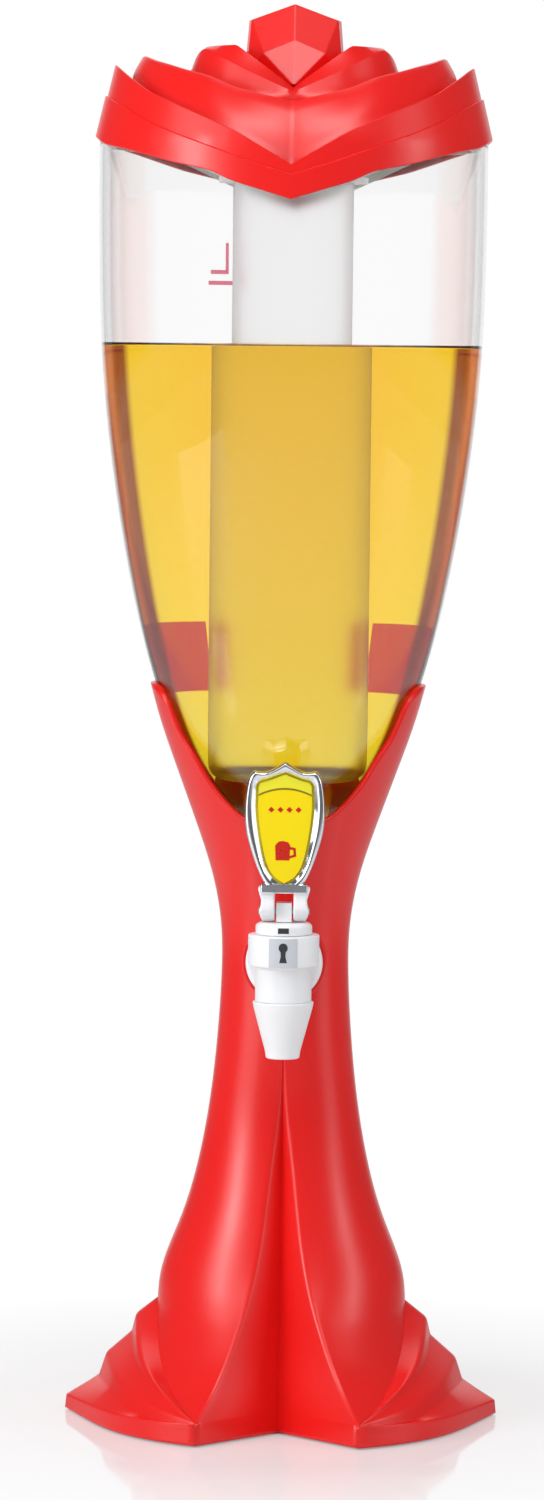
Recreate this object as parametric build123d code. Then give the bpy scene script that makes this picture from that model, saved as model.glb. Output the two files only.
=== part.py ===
from build123d import *
import os
from math import atan2, cos, hypot, pi, radians, sin

os.makedirs("parts", exist_ok=True)

# Free-standing beer tower. Millimetres, +Z up, origin on the tower's axis at the floor,
# tap towards -Y. The pedestal, tank and lid repeat front to back and left to right.

# ---- clearances and walls ----
fit = 0.15                  # between rigid pieces of one body that slip together
run = 0.05                  # radial clearance of a turning or sliding rod
free = 0.3                  # between soft or curved faces of different bodies
pedestal_wall = 3.0
lid_wall = 2.6
tank_wall = 3.0

# ---- pedestal ----
foot_gap = 0.8              # shell edge above the floor, on the rubber feet
notch_depth_y = 56.5        # V notch in the floor outline, distance from the axis
foot_corner_x = 36.0        # corner between notch and foot
foot_corner_y = 91.7
foot_reach = 97.9           # tip of a foot
foot_fullness = 0.944       # bulge of the foot outline, 1 is a circle
foot_edge = 10.6            # top of the upright edge at the corner
tip_edge = 6.8              # top of the upright edge at the tip
# pleats seen from the front, as (side, height) pairs, outer edge first
pleats = [(82.6, 16.0), (79.2, 26.4), (67.8, 36.4), (65.9, 44.3), (54.5, 52.0)]
pleat_core = (60.0, 30.0, 8.0, 36.0, 40.0)
# one level a line: height, crease, ridge x, ridge y, side, fullness
levels = [
    (foot_edge, 54.0, foot_corner_x, foot_corner_y, 65.0, 0.97),
    (21.0, 50.5, 29.5, 79.5, 62.5, 0.97),
    (42.5, 44.0, 19.8, 63.8, 58.3, 0.98),
    (62.5, 39.5, 13.4, 53.0, 55.3, 1.0),
    (88.0, 34.5, 8.6, 43.0, 46.4, 1.0),
    (116.0, 30.6, 5.3, 35.8, 38.2, 1.0),
    (143.0, 28.6, 2.6, 31.3, 33.4, 1.0),
    (172.0, 28.0, 1.6, 29.4, 30.2, 1.0),
    (200.0, 28.0, 1.4, 28.7, 28.7, 1.0),
    (220.0, 28.4, 1.4, 28.9, 28.9, 1.0),
    (246.0, 33.2, 1.4, 33.5, 33.4, 1.0),
    (270.0, 41.0, 1.4, 41.3, 41.3, 1.0),
    (295.0, 50.1, 1.4, 50.4, 50.4, 1.0),
    (316.0, 57.4, 1.4, 57.7, 57.7, 1.0),
    (334.0, 62.4, 1.4, 62.7, 62.7, 1.0),
]
hollow_foot = [             # inside of the feet, same columns
    (-1.0, 50.0, 31.5, 80.0, 92.0, 0.93),
    (8.0, 49.0, 30.0, 77.0, 86.0, 0.92),
    (15.0, 47.0, 27.0, 71.5, 76.0, 0.88),
    (26.0, 44.0, 22.0, 63.0, 63.5, 0.87),
    (42.5, 40.0, 16.0, 55.0, 55.0, 0.93),
]
rim_tip_z = 332.0
front_rim = [(0.0, 266.5), (20.0, 273.5), (35.4, 289.2), (48.1, 309.0), (55.6, 327.5)]
back_rim = [(0.0, 303.0), (20.0, 303.5), (38.0, 308.0), (50.0, 316.5), (56.0, 327.5)]
rim_tip_x = 60.6
boss_radius = 4.5
screw_radius = 1.5
screw_head_radius = 3.2
base_plate_thickness = 2.5
base_boss_x = 57.0
base_boss_y = 16.0
foot_pad_radius = 7.0
foot_pad_sink = 1.2
foot_pad_spots = [(80.0, 0.0), (32.0, 70.0)]
shell_screws = [(48.0, 30.0), (19.0, 165.0)]     # x, z
shell_screw_length = 14.0
shell_screw_bed = 9.0       # head's seat behind the joint plane

# ---- tank ----
tank_top = 574.5            # at the sides; the rim dips at the front and back under the lid's V
tank_seat = 556.0           # lowest part of the rim, which carries the lid
rim_line = [(0.0, tank_seat), (20.0, tank_seat), (36.0, 563.0), (62.0, tank_top), (95.0, tank_top)]
tank_profile = [            # outer radius, height
    (87.0, tank_top), (86.9, 545.0), (86.5, 515.0), (85.4, 483.0), (79.8, 427.0), (70.4, 373.0),
    (59.6, 331.0), (49.0, 304.0), (35.5, 281.5), (20.0, 264.8), (11.0, 260.0),
]
neck_radius = 11.0
neck_bore = 7.0
neck_bottom = 226.0
cradle_bottom = 246.0
cradle_top = 264.5
tank_seal_height = 1.6
tank_nut_height = 7.0
tank_nut_flats = 32.0

# ---- lid ----
lid_radius = tank_profile[0][0] + 0.4 + 2.2
band_bend_z = 573.0
band_top = (81.0, 609.0)
band_lower = [(0.0, 546.5), (35.5, 559.0), (62.0, 565.6), (88.0, 574.5), (92.0, 577.0)]
band_upper = [(0.0, 562.0), (24.3, 576.2), (62.5, 593.7), (72.8, 601.5), (81.5, 609.5)]
collar_foot_radius = 83.0
collar_top = (67.5, 612.0)
collar_upper = [(0.0, 589.6), (24.5, 595.6), (47.6, 603.6), (62.0, 609.0), (68.0, 612.5)]
rosette = [(49.0, 588.0), (47.6, 605.0), (45.0, 611.3), (39.5, 615.5)]
rosette_notch = [(0.0, 597.0), (28.0, 618.0)]
fill_hole_radius = 24.0
chimney_wall = 2.4
liner_thickness = 2.5
plug_depth = 4.0            # plug below the rim line
plug_wall = 2.4
lid_gasket_thickness = 1.6
lid_gasket_height = 2.0

# ---- ice tube ----
tube_radius = 27.0
tube_wall = 2.0
tube_bottom = 295.4
tube_corner = 7.0
tube_flange = 4.5
tube_flange_height = 3.0
tube_gasket_height = 1.0

# ---- cap ----
knob_top = 635.0
knob_shoulder_z = 628.0
knob_foot_z = 604.0
knob_side = 22.6
knob_shoulder = 19.4
knob_depth = 20.0
knob_roof = 3.2
cap_plug_depth = 16.0
cap_wall = 2.4
cap_gasket_height = 2.4

# ---- tap ----
tap_y = -52.0               # barrel axis
tap_z = 208.8               # shank axis
pad_face = 31.0             # front of the flat pad on the stem, distance from the axis
pad_radius = 19.0
pad_back = 24.5
shank_radius = 8.0
shank_bore = 5.0
shank_end = 13.6
gasket_thickness = 1.5
flange_radius = 17.2
flange_thickness = 3.5
tap_neck_radius = 9.6
barrel_radius = 12.5
barrel_bore = 8.5
spout_top = 193.4
spout_bottom = spout_top - 25.4
barrel_bottom = spout_top - 3.4
barrel_step = spout_top + 15.9
barrel_head_radius = 15.75
barrel_top = barrel_step + 14.1
spout_thread_radius = 10.5
throat_radius = 5.5
throat_top = barrel_bottom + 7.0
spout_top_radius = 13.6
spout_tip_radius = 7.7
spout_wall = 2.0
bonnet_radius = 12.55
bonnet_band_top = barrel_top + 4.2
bonnet_crest = 10.8
bonnet_top = bonnet_band_top + 1.1
bonnet_plug = 7.0
bonnet_roof = 3.0
stem_radius = 2.5
stem_head = 6.8
stem_head_height = 8.4
pin_z = bonnet_top + 4.9
pin_radius = 1.5
cam_radius = 4.6
cam_forward = 3.6
cam_gap = 0.4               # between cams and bonnet, at rest
fork_width = 23.4
fork_gap = 8.2
fork_bridge_z = 242.0
badge_bottom = 241.9
badge_apex = 300.1
badge = [(13.7, 295.2), (17.6, 281.1), (16.6, 268.0), (13.2, 254.5), (7.0, 245.2)]
badge_thickness = 7.0
badge_y = -56.5             # middle of its thickness
insert_margin = 3.6
insert_depth = 1.6
seal_radius = 7.6
seal_height = 3.6
stem_flange_radius = 7.6
stem_flange_height = 2.0
spring_wire = 0.55
spring_radius = 5.6
spring_turns = 6
shank_nut_flats = 24.0
shank_nut_height = 4.3
nut_pocket_radius = 15.0

# ---- feed ----
elbow_radius = 13.6
elbow_side_radius = 10.4
elbow_top = 237.0
elbow_bottom = 198.0
elbow_front = 20.0
clamp_thickness = 0.8
clamp_width = 5.0

made = {}


def keep(name, solid):
    made[name] = solid


def turned(points):
    """Solid of revolution about Z from (radius, height) corners."""
    return revolve(Plane.XZ * Polygon(*points, align=None), Axis.Z)


def tube(inner, outer, low, high):
    if inner <= 0:
        return Pos(0, 0, low) * extrude(Circle(outer), high - low)
    return Pos(0, 0, low) * extrude(Circle(outer) - Circle(inner), high - low)


def along_y(radius, near, far, x, z):
    """Cylinder from y = -near to y = -far."""
    return Pos(x, -(near + far) / 2, z) * Rot(90, 0, 0) * Cylinder(radius, abs(far - near))


def across_x(radius, half, y, z):
    return Pos(0, y, z) * Rot(0, 90, 0) * Cylinder(radius, 2 * half)


def hex_prism(flats, height):
    return extrude(RegularPolygon(flats / 2, 6, major_radius=False), height)


def slab(low, high, size=400.0):
    return Pos(0, 0, (low + high) / 2) * Box(size, size, high - low)


def front_view(points, y0, y1):
    """Prism along Y over a left-right symmetrical outline given by its right half."""
    left = [(-x, z) for x, z in reversed(points) if x > 0]
    face = Plane.XZ * Polygon(*(points + left), align=None)
    return Pos(0, y0, 0) * extrude(face, y1 - y0, dir=(0, 1, 0))


def above(line, inset):
    """Everything above a front-view line, lowered by inset."""
    low = [(x, z - inset) for x, z in reversed(line)]
    return front_view([(0, 700), (120, 700), (120, low[0][1] + 20)] + low, -150, 150)


def corner_ring(crease, ridge, side, fullness, lift=0.35):
    """Eight-edged ring: V groove, foot, groove, foot. Each point is (x, y, z) of the front right."""
    rb = hypot(ridge[0], ridge[1])
    az = (atan2(ridge[0], ridge[1]) + pi / 2) / 2
    rm = fullness * (rb + side[0]) / 2
    zm = ridge[2] + lift * (side[2] - ridge[2])
    mid = (rm * sin(az), rm * cos(az), zm)
    spots = {
        "fr": (1, -1), "br": (1, 1), "bl": (-1, 1), "fl": (-1, -1),
    }

    def at(point, sign):
        return Vector(point[0] * sign[0], point[1] * sign[1], point[2])

    edges = []
    for first, second in (("fr", "br"), ("bl", "fl")):
        one = spots[first]
        two = spots[second]
        tip = Vector(side[0] * one[0], 0, side[2])
        edges += [
            Line(at(crease, one), at(ridge, one)),
            ThreePointArc(at(ridge, one), at(mid, one), tip),
            ThreePointArc(tip, at(mid, two), at(ridge, two)),
            Line(at(ridge, two), at(crease, two)),
        ]
    return Wire([e.edge() if hasattr(e, "edge") else e for e in edges])


def level_ring(level):
    z, crease, ridge_x, ridge_y, side, fullness = level
    return corner_ring((0, crease, z), (ridge_x, ridge_y, z), (side, 0, z), fullness)


def petals():
    """Outer form of stem and cup, smooth from the foot corners to the rim tips."""
    return Part() + Solid.make_loft([level_ring(level) for level in levels])


def feet():
    """Outer form of the feet: upright edge, then pleats that run together at the corners."""
    rings = [
        corner_ring((0, notch_depth_y, foot_gap), (foot_corner_x, foot_corner_y, foot_gap),
                    (foot_reach, 0, foot_gap), foot_fullness),
        corner_ring((0, levels[0][1], foot_edge), (foot_corner_x, foot_corner_y, foot_edge),
                    (foot_reach - 0.6, 0, tip_edge), foot_fullness),
    ]
    for k, (side, height) in enumerate(pleats, 1):
        crease = (0, levels[0][1] - 0.5 * k - 0.4, foot_edge + 0.7 * k)
        ridge = (foot_corner_x - 0.44 * k, foot_corner_y - 0.9 * k, foot_edge + 0.7 * k)
        rings.append(corner_ring(crease, ridge, (side, 0, height), foot_fullness))
    rings.append(level_ring(pleat_core + (1.0,)))
    return Part() + Solid.make_loft(rings, ruled=True)


def hollow(extra=0.0):
    """Inside of the pedestal, open below and above."""
    wall = pedestal_wall + extra
    rings = []
    for z, crease, rx, ry, side, fullness in hollow_foot:
        rings.append(level_ring((z, crease - extra, rx - extra, ry - extra, side - extra, fullness)))
    for z, crease, rx, ry, side, fullness in levels[3:]:
        shrink = 1.0 if ry > crease + 5 else 0.0
        rings.append(level_ring((z + 0.01, crease - wall - 0.3 * shrink, max(0.8 * rx, 1.0),
                                 ry - wall - 3.2 * shrink, side - wall, fullness)))
    top = rings[-1].moved(Location((0, 0, 12)))
    return Part() + Solid.make_loft(rings + [top])


def rim_cutter(rim, y0, y1):
    """Everything above the cup's rim line, on one side of the joint plane."""
    outline = [(0.0, 400.0), (120.0, 400.0), (120.0, rim_tip_z), (rim_tip_x, rim_tip_z)]
    return front_view(outline + rim[::-1], y0, y1)


def spline_points(points, inset):
    """Points moved inwards along their normals, for an even wall."""
    moved = []
    for i, (r, z) in enumerate(points):
        before = points[max(i - 1, 0)]
        after = points[min(i + 1, len(points) - 1)]
        dr, dz = after[0] - before[0], after[1] - before[1]
        size = hypot(dr, dz)
        moved.append((r + inset * dz / size, z - inset * dr / size))
    return moved


def egg(inset=0.0, top=0.0):
    """Solid inside the tank's profile, moved inwards by inset."""
    points = spline_points(tank_profile, inset)
    points[0] = (tank_profile[0][0] - inset, tank_top + top)
    low = points[-1]
    wall = Plane.XZ * (Spline(*points) + Line(low, (0, low[1])) + Line((0, low[1]), (0, points[0][1]))
                       + Line((0, points[0][1]), points[0]))
    return revolve(make_face(wall), Axis.Z)


# ---- pedestal: two half shells, joined on the plane y = 0 ----
def pedestal():
    outer = petals() + feet()
    shell = outer - hollow() - egg(-fit, top=10)
    spots = [(sx * x, z) for x, z in shell_screws for sx in (-1, 1)]
    bosses = Part()
    for x, z in spots:
        bosses += along_y(boss_radius, 70, -70, x, z)
    for sx in (-1, 1):
        for sy in (-1, 1):
            post = Pos(sx * base_boss_x, sy * base_boss_y, 0) * tube(
                0, boss_radius, foot_gap + base_plate_thickness, 60)
            bosses += post
    bosses = bosses & outer
    shell = shell + (bosses - slab(-5, foot_gap + base_plate_thickness))
    shell += along_y(pad_radius, pad_back, pad_face, 0, tap_z)
    shell -= along_y(shank_radius + fit, 10, 60, 0, tap_z)
    shell -= along_y(nut_pocket_radius, 10, pad_back, 0, tap_z)
    base_hole = tube(0, screw_radius + run, 0, 20)
    for sx in (-1, 1):
        for sy in (-1, 1):
            shell -= Pos(sx * base_boss_x, sy * base_boss_y, 0) * base_hole
    for x, z in spots:
        shell -= along_y(screw_radius + run, shell_screw_length, -shell_screw_bed - 1, x, z)
        shell -= along_y(screw_head_radius + fit, -shell_screw_bed, -120, x, z)
    front = (shell - rim_cutter(front_rim, -200, 0)) & (Pos(0, -200, 200) * Box(400, 400, 800))
    back = (shell - rim_cutter(back_rim, 0, 200)) & (Pos(0, 200, 200) * Box(400, 400, 800))
    keep("pedestal_front", front)
    keep("pedestal_back", back)
    screws = []
    for x, z in spots:
        shank = along_y(screw_radius, shell_screw_length - 1, -shell_screw_bed, x, z)
        head = along_y(screw_head_radius, -shell_screw_bed, -shell_screw_bed - 2.2, x, z)
        screws.append(shank + head)
    keep("shell_screws", screws)


def base():
    top = foot_gap + base_plate_thickness
    plate = hollow(fit) & slab(foot_gap, top)
    pads, screws = [], []
    for x, y in foot_pad_spots:
        for sx in (-1, 1):
            for sy in ((-1, 1) if y else (1,)):
                spot = Pos(sx * x, sy * y, 0)
                plate -= spot * tube(0, foot_pad_radius + fit, 0, foot_gap + foot_pad_sink)
                pads.append(spot * tube(0, foot_pad_radius, 0, foot_gap + foot_pad_sink))
    for sx in (-1, 1):
        for sy in (-1, 1):
            spot = Pos(sx * base_boss_x, sy * base_boss_y, 0)
            plate -= spot * tube(0, screw_radius + fit, 0, top)
            plate -= spot * tube(0, screw_head_radius + fit, 0, foot_gap + 1.3)
            screws.append(spot * (tube(0, screw_radius, foot_gap, 18)
                                  + tube(0, screw_head_radius, foot_gap, foot_gap + 1.3)))
    keep("base_plate", plate)
    keep("rubber_feet", pads)
    keep("base_screws", screws)


# ---- tank and what carries it ----
def tank_group():
    body = egg() + tube(0, neck_radius, neck_bottom, tank_profile[-1][1] + 3)
    body -= egg(tank_wall, top=1)
    body -= tube(0, neck_bore, neck_bottom, tank_profile[-1][1] + 12)
    body -= above(rim_line, 0)
    keep("tank", body)
    cradle = (hollow(fit) & slab(cradle_bottom, cradle_top)) - egg(-fit, top=10)
    cradle -= tube(0, neck_radius + fit, 0, 300)
    keep("tank_cradle", cradle)
    seal_low = cradle_bottom - tank_seal_height
    keep("tank_seal", tube(neck_radius + run, 0.48 * tank_nut_flats, seal_low, cradle_bottom))
    nut = Pos(0, 0, seal_low - tank_nut_height) * hex_prism(tank_nut_flats, tank_nut_height)
    keep("tank_nut", nut - tube(0, neck_radius + run, 0, 300))


# ---- feed from the tank neck to the tap's shank ----
def feed():
    top = cradle_bottom - tank_seal_height - tank_nut_height - 0.4
    leg = tube(0, elbow_radius, elbow_bottom, top) + along_y(elbow_side_radius, 0, elbow_front, 0, tap_z)
    leg -= tube(0, neck_radius + run, neck_bottom, 300)
    leg -= tube(0, neck_bore, tap_z, neck_bottom)
    leg -= along_y(shank_radius + run, shank_end, 60, 0, tap_z)
    leg -= along_y(shank_bore, 0, shank_end, 0, tap_z)
    keep("feed_elbow", leg)
    upper = tube(elbow_radius + run, elbow_radius + clamp_thickness, top - 1 - clamp_width, top - 1)
    lower = (along_y(elbow_side_radius + clamp_thickness, elbow_front - clamp_width, elbow_front - 0.6, 0, tap_z)
             - along_y(elbow_side_radius + run, 0, 60, 0, tap_z))
    keep("hose_clamps", [upper, lower])


# ---- tap ----
def tap():
    axis = Pos(0, tap_y, 0)
    flange_back = pad_face + gasket_thickness
    flange_front = flange_back + flange_thickness
    neck_end = -tap_y
    body = axis * (tube(0, barrel_radius, spout_top, barrel_step)
                   + tube(0, spout_thread_radius, barrel_bottom, spout_top)
                   + tube(0, barrel_head_radius, barrel_step, barrel_top))
    body += along_y(tap_neck_radius, flange_front, neck_end, 0, tap_z - 1.5)
    body += along_y(shank_radius, shank_end, neck_end, 0, tap_z)
    body -= axis * tube(0, barrel_bore, throat_top, 300)
    body -= axis * tube(0, throat_radius, 0, throat_top)
    body -= along_y(shank_bore, 0, neck_end - 6, 0, tap_z)
    keep("tap_body", body)
    keep("tap_gasket", along_y(flange_radius - 1, pad_face, flange_back, 0, tap_z)
         - along_y(shank_radius + run, 0, 60, 0, tap_z))
    flange = along_y(flange_radius, flange_back, flange_front, 0, tap_z)
    flange = chamfer(flange.faces().sort_by(Axis.Y)[0].edges(), 1.2)
    keep("tap_flange", flange - along_y(shank_radius + run, 0, 60, 0, tap_z))
    nut = Pos(0, -pad_back, tap_z) * Rot(-90, 0, 0) * hex_prism(shank_nut_flats, shank_nut_height)
    keep("shank_nut", nut - along_y(shank_radius + run, 0, 60, 0, tap_z))
    cone = turned([(spout_thread_radius + run, spout_top), (spout_top_radius, spout_top),
                   (spout_top_radius - 0.4, spout_top - 2.5), (spout_tip_radius, spout_bottom + 2.8),
                   (spout_tip_radius, spout_bottom), (spout_tip_radius - spout_wall, spout_bottom),
                   (throat_radius, barrel_bottom), (spout_thread_radius + run, barrel_bottom)])
    keep("spout", axis * cone)
    plug_low = barrel_top - bonnet_plug
    bonnet = turned([
        (barrel_bore - run, barrel_top), (bonnet_radius, barrel_top),
        (bonnet_radius, bonnet_band_top), (bonnet_crest, bonnet_top),
        (stem_radius + run, bonnet_top), (stem_radius + run, bonnet_top - bonnet_roof),
        (spring_radius + 1.2, bonnet_top - bonnet_roof), (spring_radius + 1.2, plug_low),
        (barrel_bore - run, plug_low)])
    keep("bonnet", axis * bonnet)


def valve():
    axis = Pos(0, tap_y, 0)
    seal_low = throat_top + free
    seal_high = seal_low + seal_height
    seal = turned([(0, seal_low), (seal_radius - 1, seal_low), (seal_radius, seal_low + 1),
                   (seal_radius, seal_high), (0, seal_high)])
    keep("valve_seal", axis * seal)
    stem = axis * (tube(0, stem_flange_radius, seal_high, seal_high + stem_flange_height)
                   + tube(0, stem_radius, seal_high, pin_z))
    head = Pos(0, tap_y, bonnet_top + free + stem_head_height / 2) * Box(stem_head, 7.0, stem_head_height)
    stem = stem + head - across_x(pin_radius + run, 30, tap_y, pin_z)
    keep("valve_stem", stem)
    low = seal_high + stem_flange_height + spring_wire
    high = bonnet_top - bonnet_roof - spring_wire - 0.1
    path = Edge.make_helix((high - low) / spring_turns, high - low, spring_radius)
    start = Plane(origin=path @ 0, z_dir=path % 0)
    coil = sweep(start * Circle(spring_wire), path=path, is_frenet=True)
    keep("valve_spring", Pos(0, tap_y, low) * coil)


def shield(grow, y0, y1):
    """The badge's outline, moved outwards by grow, as a prism along Y."""
    middle = (badge_apex + badge_bottom) / 2
    height = badge_apex - badge_bottom
    shrink_z = 1 + 2 * grow / height
    points = [(0.0, badge_bottom - grow)] + [
        (max(x + grow, 0.5), middle + (z - middle) * shrink_z) for x, z in reversed(badge)
    ] + [(0.0, badge_apex + grow)]
    right = points[1:-1]
    outline = Spline(*([points[0]] + right[:-1])) + Line(right[-2], right[-1]) + Line(right[-1], points[-1])
    left = outline.mirror(Plane.YZ)
    face = make_face(Plane.XZ * (outline + left))
    return Pos(0, y0, 0) * extrude(face, y1 - y0, dir=(0, 1, 0))


def handle():
    front = badge_y - badge_thickness / 2
    back = badge_y + badge_thickness / 2
    frame = shield(0.0, front, back)
    frame -= shield(-insert_margin, front - 1, front + insert_depth)
    cam = across_x(cam_radius, fork_width / 2, tap_y - cam_forward, bonnet_top + cam_gap + cam_radius)
    eye = across_x(cam_radius - 0.1, fork_width / 2, tap_y, pin_z)
    depth = 9.0
    bridge = Pos(0, badge_y + 1.0, fork_bridge_z + 2.2) * Box(fork_width - 3, depth, 4.4)
    web = Pos(0, (tap_y + badge_y) / 2, (pin_z + fork_bridge_z + 2) / 2) * Box(
        fork_width, 8.0, fork_bridge_z + 2 - pin_z)
    fork = cam + eye + web
    fork -= Pos(0, tap_y, 0) * Box(fork_gap, 60, 2 * fork_bridge_z)
    fork = fork + bridge
    fork -= across_x(pin_radius, 30, tap_y, pin_z)
    keep("handle_frame", frame + fork)
    keep("handle_insert", shield(-insert_margin - 3 * fit, front + 0.3, front + insert_depth))
    keep("lever_pin", across_x(pin_radius, fork_width / 2 - 0.4, tap_y, pin_z))


# ---- lid ----
def lid_form(inset):
    """Band, inner collar and rosette as one block, moved inwards by inset."""
    radius = lid_radius - inset
    band = turned([(0, 530), (radius, 530), (radius, band_bend_z),
                   (band_top[0] - inset, band_top[1]), (0, band_top[1])])
    band -= above(band_upper, inset)
    collar = turned([(0, 530), (collar_foot_radius - inset, 530), (collar_foot_radius - inset, 560),
                     (collar_top[0] - inset, collar_top[1]), (0, collar_top[1])])
    collar -= above(collar_upper, inset)
    ring = turned([(0, 540)] + [(rosette[0][0] - inset, 540)]
                  + [(r - inset, z - inset) for r, z in rosette] + [(0, rosette[-1][1] - inset)])
    notch = [(0, rosette_notch[0][1] - inset), (rosette_notch[1][0], rosette_notch[1][1] - inset),
             (0, 700)]
    ring -= front_view(notch, -150, -10) + front_view(notch, 10, 150)
    return band + collar + ring


def lid():
    mouth = tank_profile[0][0] - tank_wall
    liner_top = tank_seat + liner_thickness
    rim_room = tank_profile[0][0] + 0.4
    crown = lid_form(0.0) - (lid_form(lid_wall) & slab(liner_top, 700))
    crown -= tube(0, rim_room, 500, liner_top)
    crown -= tube(mouth - 0.4, rim_room, liner_top, tank_top + 0.4) - above(rim_line, -0.4)
    crown -= front_view(band_lower + [(120, 500)], -150, 150)
    chimney_low = liner_top + tube_gasket_height + tube_flange_height + 0.3
    crown += tube(fill_hole_radius, fill_hole_radius + chimney_wall, chimney_low, 590) & lid_form(0.0)
    crown += tube(fill_hole_radius, fill_hole_radius + chimney_wall, 585, 630) & lid_form(0.0)
    crown -= tube(0, fill_hole_radius, 500, 700)
    keep("lid_crown", crown)
    plug = mouth - lid_gasket_thickness - free
    inside = lid_form(lid_wall + free)
    gasket_foot = (plug_depth + free + lid_gasket_height) / 2
    # the liner's plate and plug follow the tank's rim line, with a flat seat for the ice tube
    liner = tube(0, rim_room - 0.4, 500, 700) & (above(rim_line, 0) - above(rim_line, -liner_thickness))
    liner -= tube(0, tube_radius + tube_flange + fit, liner_top, 700)
    liner += tube(0, tube_radius + tube_flange + 2, tank_seat, liner_top)
    liner += tube(plug - plug_wall, plug, 500, tank_top - 2) & above(rim_line, plug_depth)
    liner = liner & inside
    liner -= tube(0, tube_radius + fit, 500, 700)
    groove = above(rim_line, gasket_foot) - above(rim_line, gasket_foot - lid_gasket_height)
    liner -= tube(plug - 0.8, plug + 5, 500, 700) & groove
    keep("lid_liner", liner)
    keep("lid_gasket", tube(plug - 0.8, plug + lid_gasket_thickness, 500, 700) & groove)
    gasket_top = liner_top + tube_gasket_height
    keep("tube_gasket", tube(tube_radius + fit, tube_radius + tube_flange, liner_top, gasket_top))
    flange_top = gasket_top + tube_flange_height
    c = tube_corner
    w = tube_wall
    bend = [(tube_radius - c + c * cos(radians(a)), tube_bottom + c - c * sin(radians(a)))
            for a in range(0, 91, 15)]
    inner = [(tube_radius - c + (c - w) * cos(radians(a)), tube_bottom + c - (c - w) * sin(radians(a)))
             for a in range(90, -1, -15)]
    keep("ice_tube", turned([(tube_radius, gasket_top)] + bend + [(0, tube_bottom), (0, tube_bottom + w)]
                            + inner + [(tube_radius - w, flange_top),
                                       (tube_radius + tube_flange, flange_top),
                                       (tube_radius + tube_flange, gasket_top)]))


# ---- cap with the faceted knob ----
def cap():
    low = [(-knob_side, 0), (-0.55 * knob_side, -knob_depth), (0, -knob_depth - 1.5),
           (0.55 * knob_side, -knob_depth), (knob_side, 0),
           (0.55 * knob_side, knob_depth), (0, knob_depth + 1.5), (-0.55 * knob_side, knob_depth)]
    share = knob_shoulder / knob_side
    high = [(x * share, y * 0.72) for x, y in low]
    block = Solid.make_loft([
        Wire.make_polygon([Vector(x, y, knob_foot_z) for x, y in low]),
        Wire.make_polygon([Vector(x, y, knob_shoulder_z) for x, y in high])], ruled=True)
    roof = Solid.make_loft([
        Wire.make_polygon([Vector(x, y, knob_shoulder_z) for x, y in high]),
        Wire.make_polygon([Vector(x * 0.16, y * 0.3, knob_top) for x, y in high])], ruled=True)
    plug = fill_hole_radius - free
    skirt_low = knob_foot_z - cap_plug_depth
    body = Part() + block + roof
    body += tube(0, plug, knob_foot_z - 4, knob_foot_z)
    body += tube(plug - cap_wall, plug, skirt_low, knob_foot_z)
    groove = skirt_low + 4
    body -= tube(plug - 1.0, plug + 2, groove, groove + cap_gasket_height)
    keep("cap_knob", body)
    keep("cap_gasket", tube(plug - 1.0, plug + 0.1, groove, groove + cap_gasket_height))


pedestal()
base()
tank_group()
feed()
tap()
valve()
handle()
lid()
cap()

for name, solid in made.items():
    shape = Compound(children=[Part() + s for s in solid]) if isinstance(solid, list) else solid
    export_step(shape, f"parts/{name}.step")
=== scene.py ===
import math

import bmesh
import bpy
import numpy as np
from mathutils import Matrix, Vector


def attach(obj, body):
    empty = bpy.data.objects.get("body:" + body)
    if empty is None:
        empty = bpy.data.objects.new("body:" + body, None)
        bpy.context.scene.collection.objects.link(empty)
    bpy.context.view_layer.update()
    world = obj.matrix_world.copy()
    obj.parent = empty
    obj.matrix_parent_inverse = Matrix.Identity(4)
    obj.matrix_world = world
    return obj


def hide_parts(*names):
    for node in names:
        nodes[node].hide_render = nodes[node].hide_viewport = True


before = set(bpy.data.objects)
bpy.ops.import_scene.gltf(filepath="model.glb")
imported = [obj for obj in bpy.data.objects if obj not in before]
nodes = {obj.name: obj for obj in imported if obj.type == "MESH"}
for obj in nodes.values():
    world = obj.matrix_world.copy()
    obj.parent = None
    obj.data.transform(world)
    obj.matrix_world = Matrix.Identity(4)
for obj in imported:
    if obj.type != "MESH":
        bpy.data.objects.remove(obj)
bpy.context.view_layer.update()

# Lengths of the pieces are in millimetres and those of the stage in metres. Front is -Y, and quarter
# forms are given for x > 0.
mm = 0.001


def linearColour(code):
    c = np.array([int(code[i:i + 2], 16) for i in (0, 2, 4)]) / 255
    return (*np.where(c <= 0.04045, c / 12.92, ((c + 0.055) / 1.055) ** 2.4).tolist(), 1.0)


def addNode(tree, kind, inputs=None, **settings):
    node = tree.nodes.new("ShaderNode" + kind)
    for key, value in settings.items():
        setattr(node, key, value)
    for key, value in (inputs or {}).items():
        if isinstance(value, bpy.types.NodeSocket):
            tree.links.new(value, node.inputs[key])
        else:
            node.inputs[key].default_value = value
    return node


def splineThrough(knots, count):
    # natural cubic through the knots, chord length as parameter
    knots = np.asarray(knots, float)
    t = np.r_[0, np.cumsum(np.linalg.norm(np.diff(knots, axis=0), axis=1))]
    return naturalCubic(t, knots, np.linspace(0, t[-1], count))


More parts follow.
